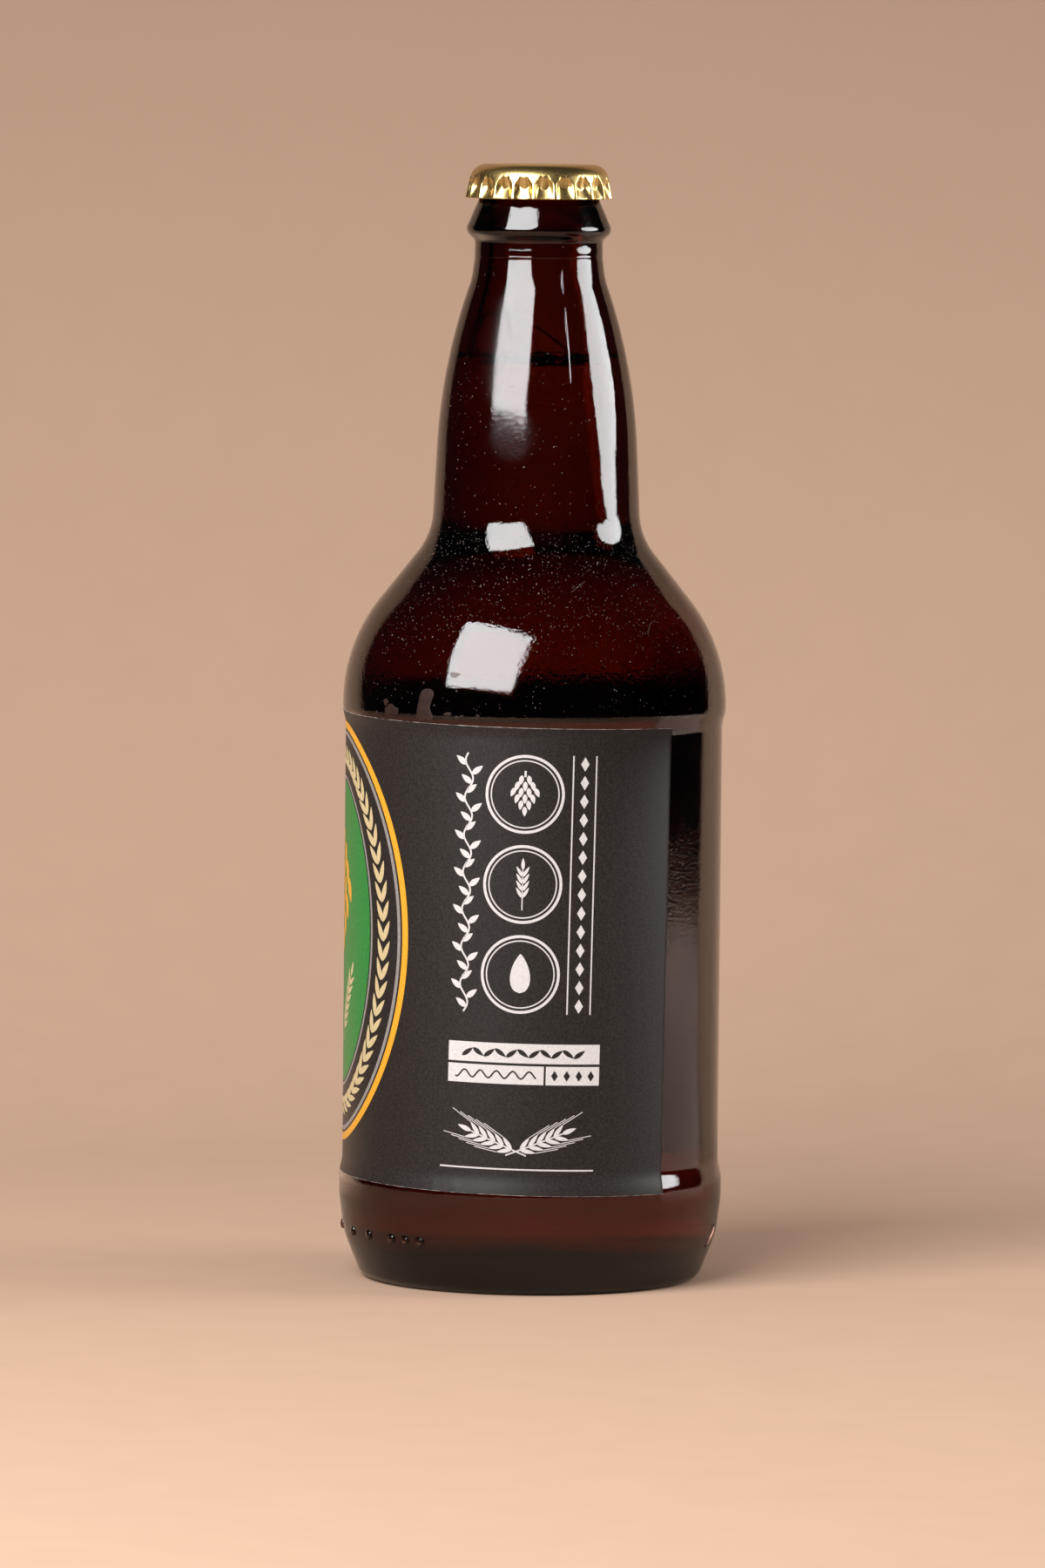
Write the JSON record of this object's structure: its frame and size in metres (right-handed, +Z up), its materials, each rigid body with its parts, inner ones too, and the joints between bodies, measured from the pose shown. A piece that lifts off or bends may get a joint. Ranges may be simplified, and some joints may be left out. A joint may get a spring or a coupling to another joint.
{
  "type": "beer bottle",
  "caption": "Full brown glass beer bottle with long neck, round shoulder, fluted gold crown cap and a dark paper wrap label.",
  "frame": {"origin": "middle of the base, on the plane that the bottle stands on", "axes": "+Z up along the bottle's axis, -Y out of the middle of the label"},
  "size_m": [0.0756, 0.0752, 0.218],
  "materials": {
    "brown_glass": "polished",
    "beer": "gloss",
    "gold_cap": "gloss",
    "label_paper": "satin"
  },
  "bodies": {
    "root": {"glass_bottle": "brown_glass", "beer": "beer", "crown_cap": "gold_cap", "label": "label_paper"}
  },
  "joints": []
}
